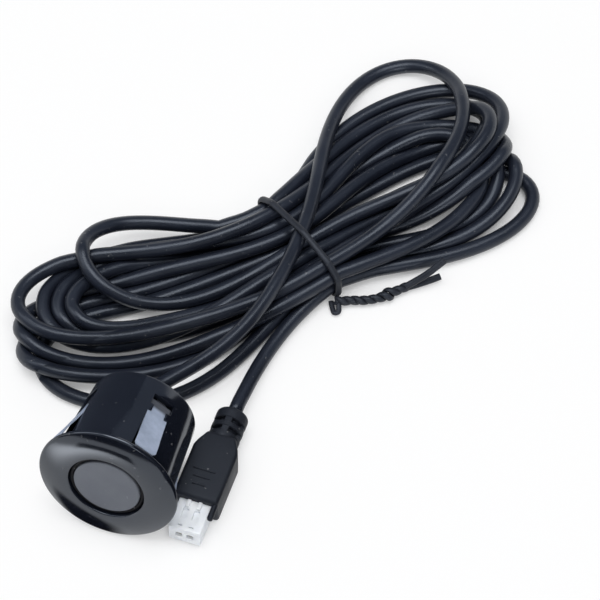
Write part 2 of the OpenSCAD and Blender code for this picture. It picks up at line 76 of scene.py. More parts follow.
# each bend at the right end: centre x, y, radius, bow of its upper and of its lower side, layer
RIGHT_BENDS = [
    [43.2, 77.0, 7.4, 1.0, 1.4, 0], [36.4, 76.0, 9.8, 1.6, 2.0, 1], [35.0, 78.6, 8.6, 2.0, 1.8, 2],
    [31.0, 77.2, 9.8, 2.0, 2.8, 3], [33.0, 82.6, 8.2, 2.5, -1.0, 4], [30.8, 87.6, 10.2, 5.0, -2.0, 5],
    [30.8, 85.0, 8.8, 4.6, -0.6, 6], [32.4, 84.4, 8.2, 3.2, -1.0, 7],
]
LEFT_BENDS = [
    [-18.6, 18.6, 6.8, 0.0, 3.0, 0], [-19.6, 22.0, 8.4, 0.0, 6.5, 1], [-21.3, 24.2, 8.5, 0.0, 5.0, 2],
    [-16.6, 28.6, 7.2, 0.0, 2.5, 3], [-19.5, 29.0, 6.5, 0.0, 3.0, 4], [-19.6, 28.2, 7.2, 0.0, 3.5, 5],
    [-14.0, 40.8, 10.0, 2.6, 3.2, 7], [-23.8, 26.8, 8.0, -3.0, 4.0, 6],
]
# where each run passes under the tie: place across the waist, in the order of winding
UPPER_RUNS = [-1.3, -3.9, -1.3, -6.5, -3.9, -9.1, -9.1, -6.5]
LOWER_RUNS = [9.1, 6.5, 3.9, 9.1, 1.3, 6.5, 3.9, 1.3, 6.5]
PLUG_END = [[13.5, 17.1, 3.1], [13.5, 18.8, 3.1], [13.4, 22, 2.3], [13.4, 27, 1.6], [14.4, 34, 1.4],
            [16.8, 41, 1.4]]
BEHIND_PROBE = [[-10.0, 13.2], [-4.0, 14.0], [1.0, 15.8], [4.8, 18.8], [7.6, 24.0], [9.9, 30.0],
                [12.3, 35.8], [15.2, 42.0]]
LARGE_LOOP = [[23.6, 56.5], [27.8, 62.6], [31.9, 69.8], [33.9, 77.0], [34.4, 83.2], [33.0, 89.0],
              [29.8, 95.0], [24.6, 99.0], [19.0, 100.2], [14.4, 98.2], [10.9, 92.2], [9.9, 81.8],
              [10.8, 72.5], [11.9, 65.1], [13.9, 57]]
PROBE_END = [[14.3, 51], [14.2, 45.4], [13.0, 38], [10.8, 29.6], [8.0, 23.4], [4.6, 18.9], [1.5, 16.6]]
IN_BOOT = [[0.1, 14.8, 8.27], [0.0, 13.18, 8.53]]


def bend_points(bend, start, end):
    """Nine points round a bend, from where the run from start meets it to where it leaves for end."""
    centre, radius = np.array(bend[:2]), bend[2]
    angles = []
    for point, sign in ((start, 1), (end, -1)):
        v = point - centre
        angles.append(np.arctan2(v[1], v[0]) + sign * np.arccos(radius / np.hypot(*v)))
    first, last = angles
    while last < first:
        last += 2 * np.pi
    return [centre + radius * np.array([np.cos(a), np.sin(a)]) for a in np.linspace(first, last, 9)]


def bowed(p, q, bow):
    """Middle of a run, moved sideways by its bow."""
    d = (q - p) / np.hypot(*(q - p))
    return (p + q) / 2 + bow * np.array([d[1], -d[0]])


def wound_points():
    """The cable's plan as it is wound, each layer still standing clear of the one below."""
    def height(layer):
        return CABLE_R + LAYER * layer

    points = [list(p) for p in PLUG_END]
    for k, (right, left) in enumerate(zip(RIGHT_BENDS, LEFT_BENDS)):
        lower = WAIST + LOWER_RUNS[k] * ACROSS
        upper = WAIST + UPPER_RUNS[k] * ACROSS
        following = WAIST + LOWER_RUNS[k + 1] * ACROSS
        below = LEFT_BENDS[k - 1][5] if k else 0
        points.append([*lower, height((below + right[5]) / 2)])
        turn = bend_points(right, lower, upper)
        turn = [bowed(lower, turn[0], right[4]), *turn, bowed(turn[-1], upper, right[3])]
        points += [[*p, height(right[5])] for p in turn]
        points.append([*upper, height((right[5] + left[5]) / 2)])
        turn = bend_points(left, upper, following)
        way_back = [bowed(turn[-1], following, left[4])] if k else BEHIND_PROBE
        turn = [bowed(upper, turn[0], left[3]), *turn, *way_back]
        points += [[*p, height(left[5])] for p in turn]
    top = height(len(RIGHT_BENDS) + 1)
    points.append([*(WAIST + LOWER_RUNS[-1] * ACROSS), top])
    points += [[x, y, top] for x, y in LARGE_LOOP]
    rise = top + LAYER - BOOT_Z
    steps = len(PROBE_END) - 1
    points += [[x, y, BOOT_Z + rise * min(1, (steps - i) / 4)] for i, (x, y) in enumerate(PROBE_END)]
    return np.array(points + IN_BOOT, float)


def smooth_line(p, step):
    """Centripetal curve through the points, with a point at every step along it."""
    q = np.vstack([2 * p[0] - p[1], p, 2 * p[-1] - p[-2]])
    t = np.r_[0, np.cumsum(np.linalg.norm(np.diff(q, axis=0), axis=1) ** 0.5)]
    out = []
    for i in range(1, len(q) - 2):
        a, b, c, d = t[i - 1:i + 3]
        for s in np.linspace(b, c, 24, endpoint=False):
            a1 = (b - s) / (b - a) * q[i - 1] + (s - a) / (b - a) * q[i]
            a2 = (c - s) / (c - b) * q[i] + (s - b) / (c - b) * q[i + 1]
            a3 = (d - s) / (d - c) * q[i + 1] + (s - c) / (d - c) * q[i + 2]
            b1 = (c - s) / (c - a) * a1 + (s - a) / (c - a) * a2
            b2 = (d - s) / (d - b) * a2 + (s - b) / (d - b) * a3
            out.append((c - s) / (c - b) * b1 + (s - b) / (c - b) * b2)
    out = np.array(out + [q[-2]])
    run = np.r_[0, np.cumsum(np.linalg.norm(np.diff(out, axis=0), axis=1))]
    n = int(round(run[-1] / step)) + 1
    return np.column_stack([np.interp(np.linspace(0, run[-1], n), run, out[:, k]) for k in range(3)])


def near_pairs(p, reach):
    """Pairs of points closer than reach that aren't neighbours along the cable."""
    first, second = [], []
    for a in range(0, len(p), 400):
        d2 = ((p[a:a + 400, None] - p[None]) ** 2).sum(2)
        i, j = np.nonzero(d2 < reach * reach)
        keep = j > i + a + 3
        first.append(i[keep] + a)
        second.append(j[keep])
    return np.concatenate(first), np.concatenate(second)


def settled(p):
    """Lets the cable down on the table: its weight, stiffness, length, contact and the tie's grip."""
    p = p.copy()
    plan = p[:, :2].copy()
    n = len(p)
    rest = np.linalg.norm(np.diff(p, axis=0), axis=1)
    free = np.ones((n, 1))
    free[:3] = free[-3:] = 0
    held = p.copy()
    # the weight fades out towards both ends, which the plug and the boot bear
    weight = np.clip(np.minimum((np.arange(n) - 3) / 8, (n - 12 - np.arange(n)) / 26), 0, 1)
    for step in range(SETTLE_STEPS):
        if step % 8 == 0:
            first, second = near_pairs(p, CABLE_D + WATCHED)
        late, last = step > LATE_FROM * SETTLE_STEPS, step > LAST_FROM * SETTLE_STEPS
        p[:, 2] -= (0 if last else LATE_FALL if late else FALL) * weight
        # stiffness over short, middle and long spans, and a light pull back to the plan
        for span, stiff, last_stiff in STIFFNESS:
            q = np.vstack([2 * p[0] - p[span:0:-1], p, 2 * p[-1] - p[-2:-2 - span:-1]])
            bending = (q[:-2 * span] + q[2 * span:]) / 2 - p
            change = bending.copy()
            change[span:-span] = bending[span:-span] - (bending[:-2 * span] + bending[2 * span:]) / 2
            p += (last_stiff if last else stiff) * change * free
        p[:, :2] += (0 if last else PLAN_PULL) * (plan - p[:, :2]) * free
        for _ in range(6 if late else 3):
            # strands that touch push each other apart
            d = p[second] - p[first]
            gap = np.linalg.norm(d, axis=1)
            hit = gap < CABLE_D
            push = (0.5 * (CABLE_D - gap[hit]) / np.maximum(gap[hit], 1e-6))[:, None] * d[hit]
            moved, count = np.zeros_like(p), np.zeros(n)
            np.add.at(moved, first[hit], -push)
            np.add.at(moved, second[hit], push)
            np.add.at(count, first[hit], 1)
            np.add.at(count, second[hit], 1)
            p += moved / np.maximum(count, 1)[:, None] * 1.3 * free
            # the table bears the cable, a little higher on the tie, whose grip keeps the waist
            from_waist = p[:, :2] - WAIST
            lengthwise, across = from_waist @ LENGTHWISE, from_waist @ ACROSS
            on_tie = np.clip(1.2 - abs(lengthwise) / TIE_SLOPE, 0, 1) * (abs(across) < TIE_REACH)
            p[:, 2] = np.maximum(p[:, 2], CABLE_R + TIE_LIFT * on_tie ** 2 * (3 - 2 * on_tie))
            widening = GRIP_FLARE * np.maximum(abs(lengthwise) - 1.5, 0)
            room = WAIST_HALF - TIE_INSET - CABLE_R + widening
            out = (abs(lengthwise) < 9) & (abs(across) > room)
            over = across[out] - np.sign(across[out]) * room[out]
            p[out, :2] -= 0.5 * np.outer(over, ACROSS)
        # no bend becomes sharper than the jacket allows
        sag = p[3:-3] - (p[:-6] + p[6:]) / 2
        deep = np.linalg.norm(sag, axis=1)[:, None]
        sag *= np.maximum(deep - MOST_SAG, 0) / np.maximum(deep, 1e-6)
        p[3:-3] -= 0.3 * sag * free[3:-3]
        p[:-6] += 0.15 * sag * free[:-6]
        p[6:] += 0.15 * sag * free[6:]
        # the length is kept, evened out over 41 points
        now = np.linalg.norm(np.diff(p, axis=0), axis=1)
        rest += 0.1 * (np.convolve(np.pad(now, 20, mode="edge"), np.ones(41) / 41, "valid") - rest)
        for _ in range(2):
            d = np.diff(p, axis=0)
            long = np.linalg.norm(d, axis=1)[:, None]
            pull = 0.25 * (long - rest[:, None]) / long * d
            p[:-1] += pull * free[:-1]
            p[1:] -= pull * free[1:]
        # the run to the boot is smoothed, and both ends stay where they are moulded in
        for _ in range(2 if last else 0):
            p[-44:-3] += 0.5 * ((p[-45:-4] + p[-43:-2]) / 2 - p[-44:-3])
        p = np.where(free > 0, p, held)
    return p


def swept_tube(name, line, radius, sides):
    """A closed tube along a line of points, with a UV map that runs round it and along it."""
    t = np.gradient(line, axis=0)
    t /= np.linalg.norm(t, axis=1)[:, None]
    normal = np.cross(t[0], [0, 0, 1.0])
    normal /= np.linalg.norm(normal)
    angle = np.linspace(0, 2 * np.pi, sides, endpoint=False)
    rings = []
    for centre, d in zip(line, t):
        normal = normal - d * (normal @ d)
        normal /= np.linalg.norm(normal)
        side = np.cross(d, normal)
        rings.append(centre + radius * (np.outer(np.cos(angle), normal) + np.outer(np.sin(angle), side)))
    n = len(line)
    faces = [(i * sides + k, i * sides + (k + 1) % sides, (i + 1) * sides + (k + 1) % sides,
              (i + 1) * sides + k) for i in range(n - 1) for k in range(sides)]
    faces += [tuple(range(sides))[::-1], tuple((n - 1) * sides + k for k in range(sides))]
    mesh = bpy.data.meshes.new(name)
    mesh.from_pydata(np.vstack(rings).tolist(), [], faces)
    run = np.r_[0, np.cumsum(np.linalg.norm(np.diff(line, axis=0), axis=1))]
    layer = mesh.uv_layers.new(name="UVMap")
    for polygon in mesh.polygons:
        i, k = divmod(polygon.index, sides)
        if i < n - 1:
            corners = ((i, k), (i, k + 1), (i + 1, k + 1), (i + 1, k))
            for loop, (ring, column) in zip(polygon.loop_indices, corners):
                layer.data[loop].uv = (column / sides, run[ring] * 100)
    mesh.shade_smooth()
    tube = bpy.data.objects.new(name, mesh)
    bpy.context.scene.collection.objects.link(tube)
    return tube


line = settled(smooth_line(wound_points(), POINT_GAP)) / 1000
cable = swept_tube("cable", line, CABLE_R / 1000, JACKET_SIDES)


def added(nodes, kind, operation=None, second=None, **values):
    """Adds a shader node with its operation, its second value and the values of its named sockets."""
    node = nodes.new("ShaderNode" + kind)
    if operation:
        node.operation = operation
    if second is not None:
        node.inputs[1].default_value = second
    for socket, value in values.items():
        node.inputs[socket.replace("_", " ")].default_value = value
    return node


def surface_group():
    """Shared pattern of a worn surface: broad patches, fine grain and a few specks of dust."""
    group = bpy.data.node_groups.new("worn_surface", "ShaderNodeTree")
    face = group.interface
    face.new_socket("Vector", in_out="INPUT", socket_type="NodeSocketVector")
    for name in ("Patch Scale", "Grain Scale", "Dust Scale", "Dust"):
        face.new_socket(name, in_out="INPUT", socket_type="NodeSocketFloat")
    for name in ("Patch", "Grain", "Dust"):
        face.new_socket(name, in_out="OUTPUT", socket_type="NodeSocketFloat")
    nodes, links = group.nodes, group.links
    given, result = nodes.new("NodeGroupInput"), nodes.new("NodeGroupOutput")
    made = {}
    for name, detail in (("Patch", 4), ("Grain", 2), ("Dust", 1)):
        noise = added(nodes, "TexNoise", Detail=detail)
        links.new(given.outputs["Vector"], noise.inputs["Vector"])
        links.new(given.outputs[name + " Scale"], noise.inputs["Scale"])
        made[name] = noise.outputs["Fac"]
    patch = added(nodes, "MapRange", From_Min=0.33, From_Max=0.67)
    links.new(made["Patch"], patch.inputs["Value"])
    links.new(patch.outputs["Result"], result.inputs["Patch"])
    links.new(made["Grain"], result.inputs["Grain"])
    specks = added(nodes, "MapRange", From_Min=0.73, From_Max=0.78)
    links.new(made["Dust"], specks.inputs["Value"])
    few = added(nodes, "Math", "MULTIPLY")
    links.new(specks.outputs["Result"], few.inputs[0])
    links.new(given.outputs["Dust"], few.inputs[1])
    links.new(few.outputs["Value"], result.inputs["Dust"])
    return group


worn_surface = surface_group()


def mixed(nodes, links, share, first, second):
    """Mixes two colours, given as plain colours or as another node's colour."""
    node = nodes.new("ShaderNodeMix")
    node.data_type = "RGBA"
    for socket, colour in ((node.inputs[6], first), (node.inputs[7], second)):
        if isinstance(colour, tuple):
            socket.default_value = (*colour, 1)
        else:
            links.new(colour, socket)
    links.new(share, node.inputs[0])
    return node.outputs[2]


def finish(name, dark, light, rough, patches=90, grain=3000, depth=0.00002, dust=0.5, specks=1500,
           **sockets):
    """A material whose colour and roughness drift in patches, with a fine grain and a little dust."""
    material = bpy.data.materials.new(name)
    material.use_nodes = True
    nodes, links = material.node_tree.nodes, material.node_tree.links
    shader = nodes["Principled BSDF"]
    for socket, value in sockets.items():
        shader.inputs[socket.replace("_", " ")].default_value = value
    place = added(nodes, "TexCoord")
    worn = nodes.new("ShaderNodeGroup")
    worn.node_tree = worn_surface
    links.new(place.outputs["Object"], worn.inputs["Vector"])
    for socket, value in (("Patch Scale", patches), ("Grain Scale", grain), ("Dust Scale", specks),
                          ("Dust", dust)):
        worn.inputs[socket].default_value = value
    colour = mixed(nodes, links, worn.outputs["Patch"], dark, light)
    pale = tuple(0.5 * c + 0.3 for c in light)
    links.new(mixed(nodes, links, worn.outputs["Dust"], colour, pale), shader.inputs["Base Color"])
    spread = added(nodes, "MapRange", To_Min=rough[0], To_Max=rough[1])
    links.new(worn.outputs["Patch"], spread.inputs["Value"])
    links.new(spread.outputs["Result"], shader.inputs["Roughness"])
    bump = added(nodes, "Bump", Strength=0.6, Distance=depth)
    links.new(worn.outputs["Grain"], bump.inputs["Height"])
    links.new(bump.outputs["Normal"], shader.inputs["Normal"])
    return material


# black plastics and rubbers give off a slightly blue gloss
COOL = (0.80, 0.88, 1.0, 1)
# the jacket: soft black PVC with faint drawn lines along it, hazy handling marks and a slight ripple
jacket = finish("cable_jacket", (0.0080, 0.0100, 0.0165), (0.0125, 0.0155, 0.0250), (0.27, 0.36), patches=150,
                dust=0.25, Specular_IOR_Level=0.5, Specular_Tint=COOL)
nodes, links = jacket.node_tree.nodes, jacket.node_tree.links
bump = next(n for n in nodes if n.bl_idname == "ShaderNodeBump")
grain_of_group = bump.inputs["Height"].links[0].from_socket
along = added(nodes, "TexCoord")
stretch = added(nodes, "Mapping", Scale=(9, 0.7, 1))
links.new(along.outputs["UV"], stretch.inputs["Vector"])
drawn = added(nodes, "TexNoise", Scale=4, Detail=4)
links.new(stretch.outputs["Vector"], drawn.inputs["Vector"])
both = added(nodes, "Math", "MULTIPLY_ADD", second=1.6)
links.new(drawn.outputs["Fac"], both.inputs[0])
links.new(grain_of_group, both.inputs[2])
links.new(both.outputs["Value"], bump.inputs["Height"])
cable.data.materials.append(jacket)

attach(cable, "probe")
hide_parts("cable_tail", "cable_hank", "plug_lead")


# Twist tie: a steel wire in a soft black ribbon, passed once round the waist of the hank over the
# large loop's end. Its ends are twisted together beside the bundle and left to stand apart.
TIE_HALF_W, TIE_HALF_T, TIE_CLEAR = 0.66, 0.46, 0.04
# twisted ends: half width and thickness, distance from the twist's middle, a turn's length, and
# how far apart the points are
END_HALF_W, END_HALF_T, TWIST_R, TWIST_PITCH, TWIST_STEP = 0.58, 0.4, 0.46, 3.1, 0.2
# one turn of the twist stands open like an eye: where along it, how long, how wide
EYE_AT, EYE_LONG, EYE_OPEN = 9.3, 0.9, 0.42
TWIST_LINE = [[22.3, 45.9, 1.5], [23.2, 46.2, 1.25], [24.6, 46.9, 1.2], [27.1, 47.8, 1.2], [29.4, 49.2, 1.2],
              [31.5, 51.3, 1.2], [33.2, 53.0, 1.2]]
LOOSE_ENDS = [
    [[33.0, 52.6, 1.6], [34.6, 53.9, 2.5], [36.2, 55.2, 3.6], [37.4, 56.4, 4.6], [38.5, 57.5, 5.6]],
    [[33.2, 53.0, 0.9], [34.5, 54.0, 0.9], [35.7, 55.0, 0.9], [36.9, 56.0, 0.95], [38.0, 57.0, 1.0]],
]
FOLD = [[22.2, 46.6, 1.5], [23.0, 45.3, 1.2], [23.3, 44.2, 0.8], [22.7, 43.9, 0.6], [22.0, 44.8, 0.6],
        [21.4, 45.9, 0.7]]


def ribbon(points, flats, half_w, half_t, closed=False, sides=12):
    """Points and faces of a ribbon with rounded edges, whose flat faces along its flats."""
    n = len(points)
    turn = np.linspace(0, 2 * np.pi, sides, endpoint=False)
    t = np.roll(points, -1, 0) - np.roll(points, 1, 0) if closed else np.gradient(points, axis=0)
    t /= np.linalg.norm(t, axis=1)[:, None]
    rings = []
    for p, d, flat in zip(points, t, flats):
        up = flat - d * (flat @ d)
        up /= np.linalg.norm(up)
        side = np.cross(d, up)
        rings.append(p + half_w * np.outer(np.cos(turn), side) + half_t * np.outer(np.sin(turn), up))
    faces = [(i * sides + k, i * sides + (k + 1) % sides, (i + 1) % n * sides + (k + 1) % sides,
              (i + 1) % n * sides + k) for i in range(n if closed else n - 1) for k in range(sides)]
    if not closed:
        faces += [tuple(range(sides))[::-1], tuple((n - 1) * sides + k for k in range(sides))]
    return np.vstack(rings), faces


def loose_ribbon(route, step, flat, half_w, half_t):
    """Points and faces of a ribbon along a smoothed route, whose flat side keeps its direction."""
    way = smooth_line(np.array(route), step)
    return ribbon(way, np.tile(flat, (len(way), 1)), half_w, half_t)


def joined(name, parts):
    """One mesh object from several lists of points and faces."""
    points, faces = [], []
    for some_points, some_faces in parts:
        start = sum(len(p) for p in points)
        points.append(some_points)
        faces += [tuple(i + start for i in face) for face in some_faces]
    mesh = bpy.data.meshes.new(name)
    mesh.from_pydata((np.vstack(points) / 1000).tolist(), [], faces)
    piece = bpy.data.objects.new(name, mesh)
    bpy.context.scene.collection.objects.link(piece)
    bpy.ops.object.select_all(action="DESELECT")
    piece.select_set(True)
    bpy.context.view_layer.objects.active = piece
    bpy.ops.object.mode_set(mode="EDIT")
    bpy.ops.mesh.select_all(action="SELECT")
    bpy.ops.mesh.normals_make_consistent(inside=False)
    bpy.ops.object.mode_set(mode="OBJECT")
    bpy.ops.object.shade_smooth_by_angle(angle=0.9)
    return piece


mm = line * 1000
from_waist = mm[:, :2] - WAIST
crossing = abs(from_waist @ LENGTHWISE) < 1.5
strands = np.column_stack([from_waist[crossing] @ ACROSS, mm[crossing, 2]])
hugging = []
for angle in np.linspace(0, 2 * np.pi, 240, endpoint=False):
    out = np.array([np.cos(angle), np.sin(angle)])
    hugging.append(strands[np.argmax(strands @ out)] + (CABLE_R + TIE_HALF_T + TIE_CLEAR) * out)
hugging = np.array(hugging + hugging[:1])
run = np.r_[0, np.cumsum(np.linalg.norm(np.diff(hugging, axis=0), axis=1))]
even = np.linspace(0, run[-1], 160, endpoint=False)
hugging = np.column_stack([np.interp(even, run, hugging[:, k]) for k in range(2)])
outward = np.roll(hugging, 1, 0) - np.roll(hugging, -1, 0)
outward = np.column_stack([-outward[:, 1], outward[:, 0]])
band_line = np.column_stack([WAIST + np.outer(hugging[:, 0], ACROSS), hugging[:, 1]])
band_flats = np.column_stack([np.outer(outward[:, 0], ACROSS), outward[:, 1]])
tie_parts = [ribbon(band_line, band_flats, TIE_HALF_W, TIE_HALF_T, closed=True)]
twist = smooth_line(np.array(TWIST_LINE), TWIST_STEP)
t = np.gradient(twist, axis=0)
t /= np.linalg.norm(t, axis=1)[:, None]
side = np.cross([0, 0, 1.0], t)
side /= np.linalg.norm(side, axis=1)[:, None]
rise = np.cross(t, side)
along_twist = np.arange(len(twist)) * TWIST_STEP
eye = EYE_OPEN * np.exp(-((along_twist - EYE_AT) / EYE_LONG) ** 2)
for start in (0, np.pi):
    turn = start + 2 * np.pi * along_twist / TWIST_PITCH
    out = np.cos(turn)[:, None] * side + np.sin(turn)[:, None] * rise
    tie_parts.append(ribbon(twist + (TWIST_R + eye)[:, None] * out, out, END_HALF_W, END_HALF_T))
for route in LOOSE_ENDS:
    tie_parts.append(loose_ribbon(route, 0.25, [0.3, -0.3, 1.0], 0.62, 0.4))
tie_parts.append(loose_ribbon(FOLD, 0.2, [0.2, 0.1, 1.0], 0.5, 0.36))
twist_tie = joined("twist_tie_ribbon", tie_parts)
twist_tie.data.materials.append(finish(
    "tie_cover", (0.010, 0.011, 0.015), (0.018, 0.020, 0.027), (0.42, 0.55), patches=300, grain=4500,
    Specular_IOR_Level=0.4, Specular_Tint=COOL))
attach(twist_tie, "probe")
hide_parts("twist_tie")


# Probe housing: one glossy black ABS moulding, a domed flange with a tapered skirt. Four windows
# are cored out behind the flange, each with two tabs that hold a spring's neck. Sizes in mm.
# from the probe's own axes, Z back from the middle of its face, to its place on the table: it
# leans back until its flange's edge and its rear edge both touch
TILT, FACE_Y, FACE_Z = np.radians(9.857119838), -9.183518, 12.415592
PROBE = Matrix(((1, 0, 0, 0),
                (0, -np.sin(TILT), np.cos(TILT), FACE_Y),
                (0, -np.cos(TILT), -np.sin(TILT), FACE_Z),
                (0, 0, 0, 1)))
# flange: its radius, the radius and depth of its round edge, where its dome starts and how it
# steepens, and the round lip at the bore
FLANGE_R, RIM_R, RIM_AT, CREST_R, DOME_POWER, LIP, BORE_R = 12.4, 0.5, 1.3, 7.6, 2.2, 0.25, 6.78
# skirt: where it leaves the flange, its radii at both ends, its round corners and its length
FLANGE_BACK, SKIRT_R, HEEL_R, CORNER, HEEL_EDGE, HOUSING_LEN = 1.8, 10.6, 9.4, 0.33, 0.3, 18.7
# windows: the angle that each one faces, and its half width at each depth, with the tabs' step
WINDOW_ANGLES = {"right": 30, "lower": 120, "under": 210, "left": 300}
WINDOW_ROWS = [(1.9, 2.2), (11.7, 2.055), (11.7, 1.4), (13.2, 1.4), (13.2, 2.033), (15.4, 2.0)]
WINDOW_FLOOR, WINDOW_DEPTH = 7.72, 5


def only(piece):
    """Makes a piece the one that is selected and active."""
    bpy.ops.object.select_all(action="DESELECT")
    piece.select_set(True)
    bpy.context.view_layer.objects.active = piece


def modified(piece, kind, **settings):
    """Adds a modifier to a piece and applies it."""
    only(piece)
    modifier = piece.modifiers.new(kind.title(), kind)
    for name, value in settings.items():
        setattr(modifier, name, value)
    bpy.ops.object.modifier_apply(modifier=modifier.name)


def turned(name, outline, steps=96):
    """A ring turned about Z from a closed outline of [radius, height]."""
    bpy.ops.object.select_all(action="DESELECT")
    bpy.ops.mesh.primitive_circle_add(vertices=len(outline), radius=1)
    piece = bpy.context.active_object
    piece.name = name
    for vertex, (r, z) in zip(piece.data.vertices, outline):
        vertex.co = (r, 0, z)
    bpy.ops.object.mode_set(mode="EDIT")
    bpy.ops.mesh.select_all(action="SELECT")
    bpy.ops.mesh.spin(steps=steps, angle=2 * np.pi, center=(0, 0, 0), axis=(0, 0, 1))
    bpy.ops.mesh.select_all(action="SELECT")
    bpy.ops.mesh.remove_doubles(threshold=0.002)
    bpy.ops.mesh.normals_make_consistent(inside=False)
    bpy.ops.object.mode_set(mode="OBJECT")
    return piece


def box(name, low, high):
    """A block between two corners."""
    low, high = Vector(low), Vector(high)
    bpy.ops.object.select_all(action="DESELECT")
    bpy.ops.mesh.primitive_cube_add(size=1, location=(low + high) / 2, scale=high - low)
    piece = bpy.context.active_object
    piece.name = name
    bpy.ops.object.transform_apply(location=True, rotation=True, scale=True)
    return piece


def cut(piece, cutter):
    """Takes a cutter's space out of a piece."""
    modified(piece, "BOOLEAN", operation="DIFFERENCE", object=cutter, solver="EXACT")
    bpy.data.objects.remove(cutter)


def placed(piece, matrix=Matrix(), angle=0.5):
    """Puts a piece that was made in mm in its place, in metres, and smooths all but its sharp edges."""
    piece.data.transform(Matrix.Scale(0.001, 4) @ matrix)
    only(piece)
    bpy.ops.object.shade_smooth_by_angle(angle=angle)


def arc(r, z, radius, first, last, n):
    """Points of a round edge about [r, z], from a first to a last angle in degrees."""
    return [[r + radius * np.cos(a), z + radius * np.sin(a)] for a in np.radians(np.linspace(first, last, n))]


def skirt_r(z):
    """The skirt's outer radius at a depth behind the face."""
    return SKIRT_R - (z - FLANGE_BACK) * (SKIRT_R - HEEL_R) / (HOUSING_LEN - FLANGE_BACK)


rim_start = arc(FLANGE_R - RIM_R, RIM_AT, RIM_R, -67, 90, 17)
housing_outline = arc(BORE_R + LIP, LIP, LIP, 180, 270, 9)
housing_outline += [[CREST_R + (rim_start[0][0] - CREST_R) * t, rim_start[0][1] * t ** DOME_POWER]
                    for t in np.linspace(0, 1, 16, endpoint=False)]
housing_outline += rim_start
housing_outline += arc(SKIRT_R + CORNER, FLANGE_BACK + CORNER, CORNER, 270, 184, 6)
housing_outline += [[skirt_r(z), z] for z in np.linspace(3.0, HOUSING_LEN - HEEL_EDGE - 0.3, 10)]
housing_outline += arc(HEEL_R - HEEL_EDGE, HOUSING_LEN - HEEL_EDGE, HEEL_EDGE, 4, 90, 7)
# inside, from the rear: the hole round the capsule, the hollow skirt and the seat of the ring
housing_outline += [[8.06, HOUSING_LEN], [8.0, HOUSING_LEN - 0.06], [8.0, 16.4], [8.263, 16.3],
                    [9.215, 3.0], [7.68, 3.0], [7.68, 3.6], [BORE_R, 3.6]]
housing = turned("probe_housing", housing_outline, 144)
for angle in WINDOW_ANGLES.values():
    bpy.ops.object.select_all(action="DESELECT")
    bpy.ops.mesh.primitive_circle_add(vertices=2 * len(WINDOW_ROWS), radius=1, fill_type="NGON")
    window = bpy.context.active_object
    outline = [(w, z) for z, w in WINDOW_ROWS] + [(-w, z) for z, w in WINDOW_ROWS[::-1]]
    for vertex, (across, z) in zip(window.data.vertices, outline):
        vertex.co = (WINDOW_FLOOR, across, z)
    bpy.ops.object.mode_set(mode="EDIT")
    bpy.ops.mesh.select_all(action="SELECT")
    bpy.ops.mesh.extrude_region_move(TRANSFORM_OT_translate={"value": (WINDOW_DEPTH, 0, 0)})
    bpy.ops.mesh.select_all(action="SELECT")
    bpy.ops.mesh.normals_make_consistent(inside=False)
    bpy.ops.object.mode_set(mode="OBJECT")
    window.data.transform(Matrix.Rotation(np.radians(angle - 90), 4, "Z"))
    cut(housing, window)
modified(housing, "BEVEL", width=0.09, segments=2, limit_method="ANGLE", angle_limit=0.9)
placed(housing, PROBE, 0.5)
gloss = finish("housing_gloss", (0.0050, 0.0062, 0.0105), (0.0075, 0.0092, 0.0150), (0.10, 0.16), patches=110,
               grain=2400, depth=0.000004, dust=0.2, specks=1200, IOR=1.7, Specular_Tint=COOL)
housing.data.materials.append(gloss)
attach(housing, "probe")
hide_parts("outer_housing")


# Leaf springs: rolled strip steel, stamped to a leaf, a neck and a root. Each root is held
# between the capsule and the housing, its neck between the tabs, and its leaf stands out.
def softened(node, name, width, segments=2, limit=0.6):
    """A copy of a CAD node in mm, with its facets merged and its edges rounded."""
    piece = bpy.data.objects.new(name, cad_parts[node].data.copy())
    bpy.context.scene.collection.objects.link(piece)
    piece.data.materials.clear()
    piece.data.transform(Matrix.Scale(1000, 4))
    only(piece)
    bpy.ops.object.mode_set(mode="EDIT")
    bpy.ops.mesh.select_all(action="SELECT")
    bpy.ops.mesh.remove_doubles(threshold=0.002)
    bpy.ops.mesh.dissolve_limited(angle_limit=0.01)
    bpy.ops.mesh.normals_make_consistent(inside=False)
    bpy.ops.object.mode_set(mode="OBJECT")
    modified(piece, "BEVEL", width=width, segments=segments, limit_method="ANGLE", angle_limit=limit)
    return piece


# rolled steel: blue-grey and mottled by an oil film, with painted shade that darkens it towards the neck,
# where it dips into the window
steel = finish("spring_steel", (0.34, 0.40, 0.52), (0.42, 0.48, 0.61), (0.46, 0.6), patches=900, grain=3400,
               depth=0.00005, dust=0.15, Metallic=0.3)
# painted shade: the steel's colour turns dark along the probe's axis at the neck, standing in for the shade
# of the window's recess
NECK_SHADE_FROM, NECK_SHADE_TO, NECK_SHADE = 0.0014, 0.0022, (0.075, 0.082, 0.10)
nodes, links = steel.node_tree.nodes, steel.node_tree.links
base = nodes["Principled BSDF"].inputs["Base Color"]
place = added(nodes, "TexCoord")
along_probe = added(nodes, "VectorMath", "DOT_PRODUCT", second=(0, np.cos(TILT), -np.sin(TILT)))
links.new(place.outputs["Object"], along_probe.inputs[0])
neck_shade = added(nodes, "MapRange", From_Min=NECK_SHADE_FROM, From_Max=NECK_SHADE_TO)
links.new(along_probe.outputs["Value"], neck_shade.inputs["Value"])
links.new(mixed(nodes, links, neck_shade.outputs["Result"], base.links[0].from_socket, NECK_SHADE), base)
for word in WINDOW_ANGLES:
    leaf = softened("spring_" + word, "leaf_spring_" + word, 0.05)
    placed(leaf, angle=0.4)
    leaf.data.materials.append(steel)
    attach(leaf, "clip_" + word)
    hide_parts("spring_" + word)


# Transducer: a drawn aluminium can with a satin grey coat on its face, in a black silicone
# sleeve. The piezo disc, its leads, a foam pad and a terminal plate are inside it.
def dress(node, material):
    """Gives a CAD node that keeps its shape its real finish."""
    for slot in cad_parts[node].material_slots:
        slot.material = material


